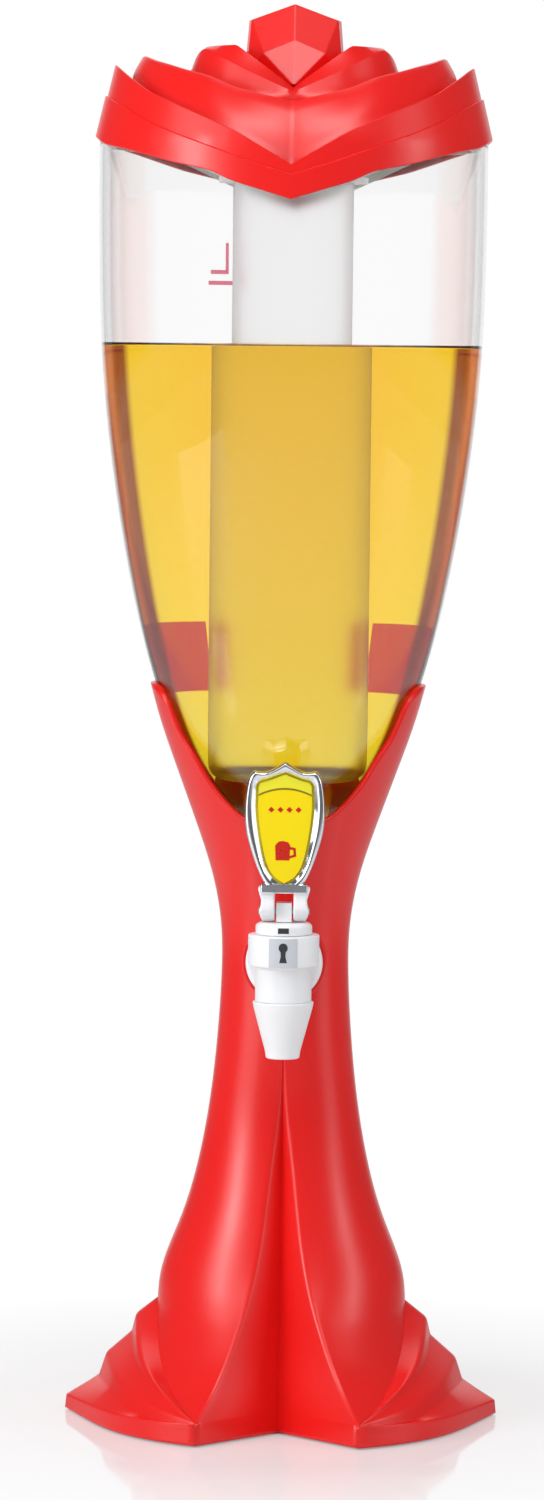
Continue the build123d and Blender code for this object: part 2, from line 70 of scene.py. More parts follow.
def naturalCubic(t, values, at):
    # y = a + b u + c u^2 + d u^3 on each stretch, second derivative zero at both ends
    values = np.asarray(values, float)
    n = len(t)
    h = np.diff(t)
    matrix = np.zeros((n, n))
    matrix[0, 0] = matrix[-1, -1] = 1
    slopes = (np.diff(values, axis=0).T / h).T
    right = np.zeros_like(values)
    for i in range(1, n - 1):
        matrix[i, i - 1:i + 2] = h[i - 1], 2 * (h[i - 1] + h[i]), h[i]
        right[i] = 3 * (slopes[i] - slopes[i - 1])
    c = np.linalg.solve(matrix, right)
    i = np.clip(np.searchsorted(t, at, side="right") - 1, 0, n - 2)
    u = at - np.asarray(t)[i]
    if values.ndim > 1:
        u = u[:, None]
        h = h[:, None]
    b = slopes[i] - h[i] * (2 * c[i] + c[i + 1]) / 3
    return values[i] + b * u + c[i] * u ** 2 + (c[i + 1] - c[i]) / (3 * h[i]) * u ** 3


def lineAt(knots, x, soft=2.5):
    # height of a drawn line at |x|: straight runs averaged over +-1.5 soft, with Gaussian weights,
    # a sharp tip at x = 0, level at the end
    knots = np.asarray(knots, float)
    slope = (knots[1, 1] - knots[0, 1]) / (knots[1, 0] - knots[0, 0])
    knots = np.vstack([knots[0] - (20, 20 * slope), knots, knots[-1] + (50, 0)])
    x = np.minimum(np.abs(x), knots[-2, 0])
    offsets = np.linspace(-1.5, 1.5, 9)
    weights = np.exp(-offsets ** 2)
    return sum(w * np.interp(x + soft * d, *knots.T) for w, d in zip(weights / weights.sum(), offsets))


def roundedProfile(corners, steps=5):
    # (a, b, radius) corners: each becomes a quadratic Bezier that starts and ends radius away from it
    out = []
    for i, (a, b, *radius) in enumerate(corners):
        p = np.array([a, b], float)
        r = radius[0] if radius else 0
        if r == 0 or i in (0, len(corners) - 1):
            out.append(p)
            continue
        before = np.array(corners[i - 1][:2], float) - p
        after = np.array(corners[i + 1][:2], float) - p
        start = p + before / np.linalg.norm(before) * min(r, 0.48 * np.linalg.norm(before))
        end = p + after / np.linalg.norm(after) * min(r, 0.48 * np.linalg.norm(after))
        for t in np.linspace(0, 1, steps + 1):
            out.append((1 - t) ** 2 * start + 2 * t * (1 - t) * p + t ** 2 * end)
    return np.array(out)


def gridFaces(rows, cols, closeCols=False):
    i = np.arange(rows - 1)[:, None]
    j = np.arange(cols if closeCols else cols - 1)[None, :]
    a = i * cols + j
    b = i * cols + (j + 1) % cols
    return np.stack([a, b, b + cols, a + cols], -1).reshape(-1, 4).tolist()


def turned(profile, cols=192, centre=(0, 0), along="z"):
    # (r, h) profile turned about Z through centre, or about the shank's axis at height centre[1]
    r, h = np.asarray(profile, float).T
    angle = np.linspace(0, 2 * np.pi, cols, endpoint=False)
    x = np.outer(r, np.sin(angle))
    other = -np.outer(r, np.cos(angle))
    level = np.repeat(h[:, None], cols, 1)
    if along == "z":
        points = np.stack([x + centre[0], other + centre[1], level], -1)
    else:
        points = np.stack([x + centre[0], level, other + centre[1]], -1)
    return points.reshape(-1, 3), gridFaces(len(r), cols, True)


def prism(outline, near, far):
    # flat (x, z) outline pushed along Y from near to far, with a cap at each end
    outline = np.asarray(outline, float)
    n = len(outline)
    rows = [np.c_[outline[:, 0], np.full(n, y), outline[:, 1]] for y in (near, far)]
    return np.vstack(rows), gridFaces(2, n, True) + [list(range(n)), list(range(2 * n - 1, n - 1, -1))]


def stacked(sections, corner=1.0, steps=5):
    # rounded rectangles (z, x0, x1, y0, y1) joined upwards, with a cap at each end
    rows = []
    for z, x0, x1, y0, y1 in sections:
        r = min(corner, 0.45 * (x1 - x0), 0.45 * (y1 - y0))
        ring = []
        corners = ((x1 - r, y1 - r, 0), (x0 + r, y1 - r, 90), (x0 + r, y0 + r, 180), (x1 - r, y0 + r, 270))
        for cx, cy, start in corners:
            for a in np.radians(np.linspace(start, start + 90, steps)):
                ring.append((cx + r * np.cos(a), cy + r * np.sin(a), z))
        rows.append(ring)
    points = np.array(rows).reshape(-1, 3)
    n = len(rows[0])
    caps = [list(range(n - 1, -1, -1)), list(range(len(points) - n, len(points)))]
    return points, gridFaces(len(rows), n, True) + caps


def mirrored(part, axis):
    points, faces = part
    points = points.copy()
    points[:, axis] *= -1
    return points, [face[::-1] for face in faces]


def meshPiece(name, parts, material, body, replaced=(), sharp=30, weld=0.02, wall=0.0, bevel=0.0):
    points = []
    faces = []
    for part, partFaces in parts:
        start = sum(len(p) for p in points)
        points.append(part)
        faces += [[start + k for k in face] for face in partFaces]
    mesh = bpy.data.meshes.new(name)
    mesh.from_pydata((np.vstack(points) * mm).tolist(), [], faces)
    work = bmesh.new()
    work.from_mesh(mesh)
    bmesh.ops.remove_doubles(work, verts=work.verts, dist=weld * mm)
    bmesh.ops.dissolve_degenerate(work, edges=work.edges, dist=0.001 * mm)
    bmesh.ops.recalc_face_normals(work, faces=work.faces)
    if wall and sum(f.calc_area() * f.normal.xy.dot(f.calc_center_median().xy) for f in work.faces) < 0:
        bmesh.ops.reverse_faces(work, faces=work.faces)
    work.to_mesh(mesh)
    work.free()
    mesh.polygons.foreach_set("use_smooth", np.ones(len(mesh.polygons), bool))
    mesh.set_sharp_from_angle(angle=math.radians(sharp))
    piece = bpy.data.objects.new(name, mesh)
    bpy.context.scene.collection.objects.link(piece)
    mesh.materials.append(material)
    if wall:
        solid = piece.modifiers.new("wall", "SOLIDIFY")
        solid.thickness = wall * mm
        solid.offset = -1
        solid.use_quality_normals = True
    if bevel:
        edge = piece.modifiers.new("edge", "BEVEL")
        edge.width = bevel * mm
        edge.segments = 3
        edge.limit_method = "ANGLE"
        edge.angle_limit = math.radians(sharp)
        edge.use_clamp_overlap = True
        edge.harden_normals = True
    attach(piece, body)
    if replaced:
        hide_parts(*replaced)
    return piece


def principled(name, settings):
    material = bpy.data.materials.new(name)
    material.use_nodes = True
    tree = material.node_tree
    shader = tree.nodes["Principled BSDF"]
    for key, value in settings.items():
        shader.inputs[key].default_value = value
    return material, tree, shader


def surfaceDetail(tree, shader, base, dark, scale, roughness, spread, height, mottle=0.5):
    # two noises in object space: the slow one moves the colour, the fine one is gloss and bump
    coords = addNode(tree, "TexCoord").outputs["Object"]
    slow = addNode(tree, "TexNoise", {"Vector": coords, "Scale": 1000 / (scale * 22), "Detail": 3.0})
    fine = addNode(tree, "TexNoise", {"Vector": coords, "Scale": 1000 / scale, "Detail": 4.0})
    share = addNode(tree, "Math", {0: slow.outputs["Fac"], 1: mottle}, operation="MULTIPLY")
    colour = addNode(tree, "Mix", {"Factor": share.outputs[0], "A": linearColour(base),
                                   "B": linearColour(dark)}, data_type="RGBA")
    gloss = addNode(tree, "MapRange", {"Value": fine.outputs["Fac"], "To Min": roughness - spread,
                                       "To Max": roughness + spread})
    bump = addNode(tree, "Bump", {"Height": fine.outputs["Fac"], "Strength": 1.0, "Distance": height * mm})
    tree.links.new(colour.outputs["Result"], shader.inputs["Base Color"])
    tree.links.new(gloss.outputs["Result"], shader.inputs["Roughness"])
    tree.links.new(bump.outputs["Normal"], shader.inputs["Normal"])


def opaque(name, base, dark, scale, roughness, spread, height, ior=1.5, **settings):
    material, tree, shader = principled(name, {"IOR": ior, **settings})
    surfaceDetail(tree, shader, base, dark, scale, roughness, spread, height)
    return material


def ink(name, base, dark, film=0.85):
    # film of ink, also used for the painted reflection on the tank: that share of it filters the light that
    # comes from behind, the rest scatters
    material = opaque(name, base, dark, 1.0, 0.42, 0.05, 0.004)
    tree = material.node_tree
    clearFilm = addNode(tree, "BsdfTransparent", {"Color": linearColour(base)})
    mix = addNode(tree, "MixShader", {0: film, 1: tree.nodes["Principled BSDF"].outputs[0],
                                      2: clearFilm.outputs[0]})
    tree.links.new(mix.outputs[0], tree.nodes["Material Output"].inputs["Surface"])
    return material


def clear(name, kept, density, ior, roughness, spread, scale):
    # absorption a metre: (1 - kept) * density for each of red, green and blue
    material, tree, shader = principled(name, {"IOR": ior, "Transmission Weight": 1.0,
                                               "Specular IOR Level": 0.1, "Base Color": (1, 1, 1, 1)})
    coords = addNode(tree, "TexCoord").outputs["Object"]
    fine = addNode(tree, "TexNoise", {"Vector": coords, "Scale": 1000 / scale, "Detail": 2.0})
    gloss = addNode(tree, "MapRange", {"Value": fine.outputs["Fac"], "To Min": max(roughness - spread, 0),
                                       "To Max": roughness + spread})
    tree.links.new(gloss.outputs["Result"], shader.inputs["Roughness"])
    volume = addNode(tree, "VolumeAbsorption")
    volume.inputs["Color"].default_value = (*kept, 1)
    volume.inputs["Density"].default_value = density
    tree.links.new(volume.outputs["Volume"], tree.nodes["Material Output"].inputs["Volume"])
    return material


# ABS, injection moulded in a polished mould: deep even red, soft highlights with a faint orange peel
redAbs = opaque("gloss_abs_red", "E9130F", "DF0F0C", 1.6, 0.3, 0.03, 0.006, ior=1.54)
# ABS, moulded in a plainer mould: white, softer highlights
whiteAbs = opaque("satin_abs_white", "F1F2F4", "E6E8EC", 1.2, 0.3, 0.05, 0.008, ior=1.53)
# ABS, chromed by electroplating: mirror with a slight haze
chrome = opaque("chrome_plate", "EDF0F4", "E2E6EB", 2.0, 0.09, 0.03, 0.002, ior=1.5, Metallic=1.0)
# polypropylene, moulded: light grey, waxy
greyPp = opaque("polypropylene_grey", "C9CDD3", "BCC0C7", 1.4, 0.38, 0.05, 0.01)
# polystyrene sheet, printed yellow under a clear lacquer: flat and glossy
yellowPrint = opaque("lacquered_print_yellow", "F6DC00", "F0D400", 1.2, 0.24, 0.03, 0.003)
limePrint = opaque("lacquered_print_lime", "EAE334", "E4DC2A", 1.2, 0.24, 0.03, 0.003)
olivePrint = opaque("lacquered_print_olive", "8C7A12", "7E6C10", 1.2, 0.28, 0.03, 0.003)
redPrint = opaque("lacquered_print_red", "C8200F", "B81A0C", 1.2, 0.28, 0.03, 0.003)
# screen-printing ink on acrylic for the pink level marks, and a red film of the same kind as a painted
# reflection of the red stand in the beer: thin film, light comes through it
markInk = ink("screen_ink_pink", "F49AB2", "EE90A8")
reflectionFilm = ink("painted_reflection_red", "E8180E", "DC160C")
# steel wire and screws, zinc plated: grey metal, fine drawn grain
steel = opaque("zinc_plated_steel", "B9BDC2", "A9ADB2", 0.8, 0.32, 0.07, 0.01, Metallic=1.0)
# EPDM rubber, moulded: near black, matt with a fine grain
rubber = opaque("epdm_rubber_black", "1B1B1C", "232324", 0.7, 0.62, 0.08, 0.03)
# silicone, moulded: milky and soft looking
silicone = opaque("food_silicone_clear", "F6F7F9", "EEF0F3", 1.5, 0.42, 0.06, 0.02, ior=1.41,
                  **{"Transmission Weight": 0.85})
# painted shade: thin dark grey sheets laid over the keyhole and the bonnet's notch stand in for slots that
# give little light back
darkSlot = opaque("painted_slot_shade", "33363B", "2A2D31", 1.0, 0.45, 0.05, 0.01)
# cast acrylic: clear with a faint grey body
clearAcrylic = clear("cast_acrylic_clear", (0.86, 0.88, 0.9), 12.0, 1.49, 0.008, 0.006, 30.0)
# polycarbonate tube, extruded and frosted: grey haze that blurs what stands behind it; its index is
# taken against the beer on both sides of it
tubeClear = clear("polycarbonate_frosted", (0.7, 0.62, 0.64), 30.0, 1.12, 0.3, 0.02, 12.0)
# lager: golden, takes blue at once and green with depth
beerLiquid = clear("lager_beer", (0.996, 0.925, 0.05), 48.0, 1.333, 0.0, 0.0, 20.0)
print("materials done")

pedestalForm = {
    "corner": (36.0, 91.7, 10.6), "floor": 0.8, "notchFloor": 56.5,
    # height, crease y, ridge x, ridge y
    "groove": [(10.6, 53.3, 36, 91.7), (21, 50.3, 29.5, 79.5), (42.5, 44, 19.8, 63.8), (62.5, 39.5, 13.4, 53),
               (88, 34.5, 8.6, 43), (116, 30.2, 5.3, 35.5), (143, 28.9, 2, 30.6), (172, 29.6, 0.5, 30.1),
               (200, 28.4, 0.2, 28.7), (220, 28.7, 0.1, 28.9), (246, 33.4, 0, 33.4), (270, 41.3, 0, 41.3),
               (295, 50.4, 0, 50.4), (316, 57.7, 0, 57.7), (334, 62.7, 0, 62.7)],
    "side": [(52, 56.1), (62.5, 55.2), (88, 46.4), (116, 38.2), (143, 33.4), (172, 30.3), (200, 28.7),
             (220, 28.9), (246, 33.4), (270, 41.3), (295, 50.4), (316, 57.7), (334, 62.7)],
    "folds": [(56.1, 52), (65.9, 44.3), (67.8, 36.4), (79.2, 26.4), (82.6, 16), (97.3, 6.8), (97.9, 0.8)],
    "foldRound": [0.5, 1.8, 0.8, 1.8, 0.8, 0.7],
    # the fold above the toe stays level first: share of the way to the corner, height
    "toeFold": 4, "toeLine": [(0, 16), (0.37, 16), (0.57, 13.5), (0.77, 9.8), (0.87, 9.4), (1, 10.6)],
    "firstFall": 1.15, "fall": 0.8,  # powers of the folds' fall to the corner
    "frontRim": [(0, 266.5), (20, 273.5), (27.3, 279.6), (35.4, 289), (40.9, 299), (48.1, 309), (55.6, 327.5),
                 (60.6, 332)],
    "backRim": [(0, 303), (20, 303.5), (38, 308), (50, 316.5), (56, 327.5), (60.6, 332)],
    "swell": (35, 60),  # heights between which the petals turn from flat to round
    "rimFrom": 250, "top": 334,  # columns bend to the rim above the first, none is higher than the second
    "ridgeRound": 1.7, "wall": 2.6, "seam": 0.12,
}


def foldPoint(k, s):
    # x = cx + (xk - cx)(1 - a s - (1 - a) s^p), y = -cy s, z = cz + (zk - cz)(1 - s)^e
    cx, cy, cz = pedestalForm["corner"]
    folds = pedestalForm["folds"]
    x, z = folds[k]
    reach = (x - folds[0][0]) / (folds[-1][0] - folds[0][0])
    a = 0.55 * reach
    out = cx + (x - cx) * (1 - a * s - (1 - a) * s ** (2.5 + 2.5 * reach))
    if k == len(folds) - 1:
        high = np.full_like(s, z)
    elif k == pedestalForm["toeFold"]:
        high = np.interp(s, *np.array(pedestalForm["toeLine"], float).T)
    else:
        high = cz + (z - cz) * (1 - s) ** pedestalForm["fall" if k else "firstFall"]
    return np.stack([out, -cy * s, high], -1)


def pedestalQuarter(rim):
    form = pedestalForm
    cx, cy, cz = form["corner"]
    groove = np.array(form["groove"], float)
    side = np.array(form["side"], float)
    bend, top, firstZ = form["rimFrom"], form["top"], form["folds"][0][1]
    s = np.linspace(1, 0, 49)
    lowZ = cz + (firstZ - cz) * (1 - s) ** form["firstFall"]
    midZ = np.linspace(lowZ[-1], bend, 68)[1:]
    share = np.linspace(0, 1, 27)[1:]

    def section(z, at):
        # at: 0..1 groove wall, 1..2 rounding of the ridge, 2..3 petal; z has the shape of at
        flat = z.ravel()
        crease, rx, ry = (naturalCubic(groove[:, 0], groove[:, k], flat) for k in (1, 2, 3))
        rx = np.maximum(rx, 0)
        reach = 1 - np.clip((flat - cz) / (firstZ - cz), 0, 1) ** (1 / form["firstFall"])
        edge = foldPoint(0, reach)
        high = flat >= firstZ
        ex = np.where(high, naturalCubic(side[:, 0], side[:, 1], np.clip(flat, firstZ, top)), edge[:, 0])
        ey = np.where(high, 0, -edge[:, 1])
        w = np.clip((flat - form["swell"][0]) / (form["swell"][1] - form["swell"][0]), 0, 1)
        w = w * w * (3 - 2 * w)
        r0, r1 = np.hypot(rx, ry), np.hypot(ex, ey)
        a0, a1 = np.arctan2(rx, ry), np.arctan2(ex, ey)

        def petal(t):
            # polar from the ridge: r = r0 + (r1 - r0)((1 - w) t + w sin(pi t / 2))
            r = r0 + (r1 - r0) * ((1 - w) * t + w * np.sin(np.pi * t / 2))
            a = a0 + (a1 - a0) * t
            return np.stack([r * np.sin(a), r * np.cos(a)], -1)

        ridge = np.stack([rx, ry], -1)
        inner = np.stack([rx * 0, crease], -1)
        grooveLong = np.linalg.norm(ridge - inner, axis=1)
        petalLong = np.hypot(ex - rx, ey - ry)
        rounding = np.minimum(form["ridgeRound"], 0.35 * np.minimum(grooveLong, petalLong))
        back = ridge + (inner - ridge) * (rounding / np.maximum(grooveLong, 1e-6))[:, None]
        startT = rounding / np.maximum(petalLong, 1e-6)
        front = petal(startT)
        u = at.ravel()
        a = np.clip(u, 0, 1)[:, None]
        b = np.clip(u - 1, 0, 1)[:, None]
        c = np.clip(u - 2, 0, 1)
        wallPart = inner + (back - inner) * a
        roundPart = (1 - b) ** 2 * back + 2 * b * (1 - b) * ridge + b ** 2 * front
        petalPart = petal(startT + (1 - startT) * c)
        xy = np.where(u[:, None] <= 1, wallPart, np.where(u[:, None] <= 2, roundPart, petalPart))
        return np.c_[xy[:, 0], -xy[:, 1], flat].reshape(*z.shape, 3)

    # 13 columns on the groove's wall, 7 round the ridge, 48 on the petal
    at = np.r_[np.linspace(0, 1, 13), np.linspace(1, 2, 8)[1:], 2 + np.linspace(0, 1, 49)[1:] ** 1.05]
    # top of each column: z = rim(x(z)), halved 40 times
    low = np.full(len(at), float(bend))
    high = np.full(len(at), float(top))
    for _ in range(40):
        middle = (low + high) / 2
        above = middle > lineAt(rim, section(middle, at)[:, 0])
        high = np.where(above, middle, high)
        low = np.where(above, low, middle)
    z = np.vstack([np.repeat(np.r_[lowZ, midZ][:, None], len(at), 1), bend + (low - bend) * share[:, None]])
    upper = section(z, np.repeat(at[None, :], len(z), 0))
    # groove wall below the corner, straight down to the floor edge
    footZ = np.linspace(form["floor"], cz, 7)
    crease = np.interp(footZ, [form["floor"], cz], [form["notchFloor"], groove[0, 1]])
    t = np.linspace(0, 1, 13)
    foot = np.stack([np.outer(np.ones(len(footZ)), t * cx), -(crease[:, None] + (cy - crease[:, None]) * t),
                     np.outer(footZ, np.ones(len(t)))], -1)
    # fan of folds: straight across between them, each fold rounded
    folds = np.stack([foldPoint(k, s) for k in range(7)], 1)
    steps = []
    for k in range(6):
        a, b = folds[:, k], folds[:, k + 1]
        long = np.linalg.norm(b - a, axis=1)[:, None]
        cut0 = np.minimum(form["foldRound"][k], 0.3 * long) if k else 0 * long
        cut1 = np.minimum(form["foldRound"][k + 1], 0.3 * long) if k < 5 else 0 * long
        ease = np.maximum(long, 1e-6)
        steps.append((a + (b - a) * cut0 / ease, b + (a - b) * cut1 / ease))
    rows = []
    for k in range(6):
        start, end = steps[k]
        for t in np.linspace(0, 1, 7 if k == 5 else 8):
            rows.append(start + (end - start) * t)
        if k < 5:
            corner, after = folds[:, k + 1], steps[k + 1][0]
            for t in np.linspace(0, 1, 6)[1:-1]:
                rows.append((1 - t) ** 2 * end + 2 * t * (1 - t) * corner + t ** 2 * after)
    fan = np.stack(rows, 0)
    parts = []
    for grid in (upper, foot, fan):
        points = grid.reshape(-1, 3).copy()
        points[:, 1] = np.minimum(points[:, 1], -form["seam"])
        parts.append((points, gridFaces(grid.shape[0], grid.shape[1])))
    return parts


front = pedestalQuarter(pedestalForm["frontRim"])
back = [mirrored(part, 1) for part in pedestalQuarter(pedestalForm["backRim"])]
for name, quarter, node in (("pedestal_front_shell", front, "pedestal_front"),
                            ("pedestal_back_shell", back, "pedestal_back")):
    meshPiece(name, quarter + [mirrored(part, 0) for part in quarter], redAbs, "stand", [node],
              sharp=34, wall=pedestalForm["wall"])
# the flat pad that the tap's rose sits on: radius, y, rounding
padForm = {"line": [(8.3, -24.5), (19, -24.5), (19, -31, 0.8), (8.3, -31), (8.3, -24.5)], "height": 208.8}
pad = turned(roundedProfile(padForm["line"]), 96, (0, padForm["height"]), "y")
meshPiece("tap_pad", [pad], redAbs, "stand", sharp=40)
print("pedestal done")

tankForm = {
    "outer": [(87.0, 574.5), (86.9, 545.0), (86.5, 515.0), (85.4, 483.0), (79.8, 427.0), (70.4, 373.0),
              (59.6, 331.0), (49.0, 304.0), (35.5, 281.5), (20.0, 264.8), (11.0, 260.0)],
    "wall": 3.0, "rim": [(0, 556), (20, 556), (36, 563), (62, 574.5), (95, 574.5)],
    "neck": 11.0, "bore": 7.0, "neckLow": 226.0, "level": 483.0, "bend": 545.0, "top": 574.5,
}
outer = splineThrough(tankForm["outer"], 110)
slope = np.gradient(outer, axis=0)
slope /= np.linalg.norm(slope, axis=1)[:, None]
normal = np.c_[slope[:, 1], -slope[:, 0]]


def tankInside(depth):
    # the outer curve moved inwards by depth, down to the neck's bore
    inside = outer + normal * depth
    return inside[inside[:, 0] > tankForm["bore"] + 0.5]


def rimmed(part):
    # heights above the bend are scaled so that the rim follows its front-view line
    points = part[0].copy()
    rim = np.interp(np.abs(points[:, 0]), *np.array(tankForm["rim"], float).T)
    bend = tankForm["bend"]
    over = points[:, 2] > bend
    points[over, 2] = bend + (points[over, 2] - bend) * (rim[over] - bend) / (tankForm["top"] - bend)
    return points, part[1]


inside = tankInside(tankForm["wall"])
top, neck, bore, neckLow = (tankForm[key] for key in ("top", "neck", "bore", "neckLow"))
tankProfile = np.vstack([
    [(84.6, top), (86.4, top), (86.85, top - 0.3), (87.0, top - 0.9)], outer[1:-1],
    roundedProfile([(neck + 1.5, 260.8), (neck, 259.6, 0.8), (neck, neckLow, 0.6), (bore, neckLow, 0.6),
                    (bore, inside[-1, 1] + 0.6, 0.8), tuple(inside[-1])]),
    inside[::-1][1:-1], [(84.0, top - 0.9), (84.15, top - 0.3), (84.6, top)],
])
tank = meshPiece("tank_acrylic", [rimmed(turned(tankProfile, 256))], clearAcrylic, "stand",
                 ["tank"], sharp=60)
tubeForm = {"radius": 27.0, "wall": 2.0, "low": 295.4, "corner": 7.0, "flange": 31.5, "under": 559.5,
            "top": 562.5}


def tubeLine(radius, wall, low, corner, flange, under, top):
    # closed foot, straight tube and a flange that hangs in the lid: outside up, inside down
    bore, floor = radius - wall, low + wall
    return [(0, low), (radius, low, corner), (radius, under, 0.4), (flange, under, 0.5), (flange, top, 0.5),
            (bore, top, 0.5), (bore, floor, corner - wall), (0, floor)]


tubeProfile = roundedProfile(tubeLine(**tubeForm), 12)
iceTube = meshPiece("ice_tube_clear", [turned(tubeProfile, 192)], tubeClear, "lid",
                    ["ice_tube"], sharp=60)
# the liquid reaches 0.1 into the wall, so that the wall has one face towards it, and fills the ice tube too
sunk = 0.1
lined = tankInside(tankForm["wall"] - sunk)
level = tankForm["level"]
wet = lined[lined[:, 1] < level - 1]
shore = np.interp(level, lined[::-1, 1], lined[::-1, 0])
meniscus = [(0, level), (20, level), (40, level), (60, level), (shore - 4, level),
            (shore - 1.8, level + 0.08), (shore - 0.8, level + 0.35), (shore - 0.25, level + 0.75),
            (shore + 0.02, level + 1.2)]
beerLow = neckLow + 6
beerFoot = [(bore + sunk, wet[-1, 1] + 0.3), (bore + sunk, beerLow), (0, beerLow)]
beerProfile = np.vstack([meniscus, wet, beerFoot])
beer = meshPiece("beer_lager", [turned(beerProfile, 256)], beerLiquid, "stand", sharp=70)
for piece in (tank, beer):
    # the lamps reach what stands behind or inside them
    piece.visible_shadow = False
print("tank done")


def tankPatch(name, angles, heights, material):
    # a thin patch on the outside of the tank's back, printed for the level marks and a painted reflection for
    # the red bands: angle from the back, height
    angle = np.radians(np.linspace(*angles, max(int(abs(angles[1] - angles[0]) / 1.5), 2)))
    z = np.linspace(*heights, 6)
    radius = np.interp(z, outer[::-1, 1], outer[::-1, 0])
    layers = []
    for lift in (0.02, 0.1):
        r = (radius + lift)[:, None]
        height = np.repeat(z[:, None], len(angle), 1)
        layers.append(np.stack([r * np.sin(angle), r * np.cos(angle), height], -1))
    n = z.size * angle.size
    a, b = (layer.reshape(-1, 3) for layer in layers)
    faces = gridFaces(len(z), len(angle))
    wide = len(angle)
    rim = [*range(wide), *(k * wide + wide - 1 for k in range(1, len(z))), *range(n - 2, n - wide - 1, -1),
           *(k * wide for k in range(len(z) - 2, 0, -1))]
    sides = [[i, j, n + j, n + i] for i, j in zip(rim, rim[1:] + rim[:1])]
    both = faces + [[n + k for k in face[::-1]] for face in faces] + sides
    return meshPiece(name, [(np.vstack([a, b]), both)], material, "stand", weld=0.005)


# painted reflection: two red bands on the tank's back stand in for the red stand as it shows bent in the beer
bandForm = {"heights": (336, 365.5), "left": (-36, -17), "right": (15.5, 40)}
for side in ("left", "right"):
    tankPatch("tank_reflection_band_" + side, bandForm[side], bandForm["heights"], reflectionFilm)
markForm = {
    "level_bar": ((-22.3, -21.3), (517.4, 530.4)), "level_foot": ((-27.4, -21.3), (516.0, 517.9)),
    "level_line": ((-28.2, -19.2), (511.0, 512.9)),
}
for name, (angles, heights) in markForm.items():
    tankPatch(name, angles, heights, markInk)

lidForm = {
    "lower": [(0, 546.5), (26, 554.5), (35.5, 559), (53, 562.8), (73.5, 568.8), (84, 571.3), (89.6, 576.5)],
    "step": [(0, 557.4), (18, 563), (50.5, 575), (64, 581), (78.5, 590), (88, 596.5)],
    "upper": [(0, 562), (24.3, 576.2), (35, 581.2), (62.5, 593.7), (72.8, 601.5), (81, 609)],
    "collar": [(0, 589.6), (24.5, 595.6), (36.8, 601), (47.6, 604), (62, 609), (67.5, 612)],
    "ringFoot": [(0, 591.8), (9.6, 591.7), (34, 598.6), (47.6, 605)],
    "ringTop": [(0, 595), (5.3, 597.5), (20.2, 604.5), (40, 615.4), (44.4, 611.6), (47.6, 605.2)],
    "notch": [(0, 597), (25.5, 615.9), (60, 615.9)],
    # the band's outside: 8.6 inwards on 36 of height above 573
    "radius": 89.6, "taperFrom": 573, "taper": (8.6, 36), "collarRadius": 67.9, "ringRadius": (47.6, 44.4),
    "wall": 2.2, "cols": 360,
}


def lidRow(radius, height, cols=lidForm["cols"]):
    # one ring: rho(theta), z(|x|), repeated until both agree
    angle = np.linspace(0, 2 * np.pi, cols, endpoint=False)
    rho = np.full(cols, 80.0)
    for _ in range(4):
        z = height(rho * np.sin(angle), angle)
        rho = radius(z, angle) + np.zeros(cols)
    return np.stack([rho * np.sin(angle), -rho * np.cos(angle), z], -1)


def bandRadius(less=0.0):
    across, up = lidForm["taper"]
    return lambda z, angle: lidForm["radius"] - less - np.maximum(0, z - lidForm["taperFrom"]) * across / up


def evenRadius(radius):
    return lambda z, angle: radius


def onLine(key, lift=0.0, soft=2.5):
    return lambda x, angle: lineAt(lidForm[key], x, soft) + lift


def between(low, high, share, lift=0.0):
    # that share of the way from one drawn line up to another
    return lambda x, angle: (1 - share) * lineAt(lidForm[low], x) + share * lineAt(lidForm[high], x) + lift


def sideOnly(angle):
    # 0 in front and at the back, 1 at the sides
    return np.sin(angle) ** 2


def shoulderRow(f):
    # a row of the shoulder, f of the way from the band to the collar, domed by 1.2
    return lidRow(lambda z, a: (1 - f) * (82.5 - 9.6 * sideOnly(a)) + f * lidForm["collarRadius"]
                  + 1.2 * math.sin(math.pi * f),
                  lambda x, a: (1 - f) * (lineAt(lidForm["upper"], x) - 0.8 - 1.2 * sideOnly(a))
                  + f * lineAt(lidForm["collar"], x))


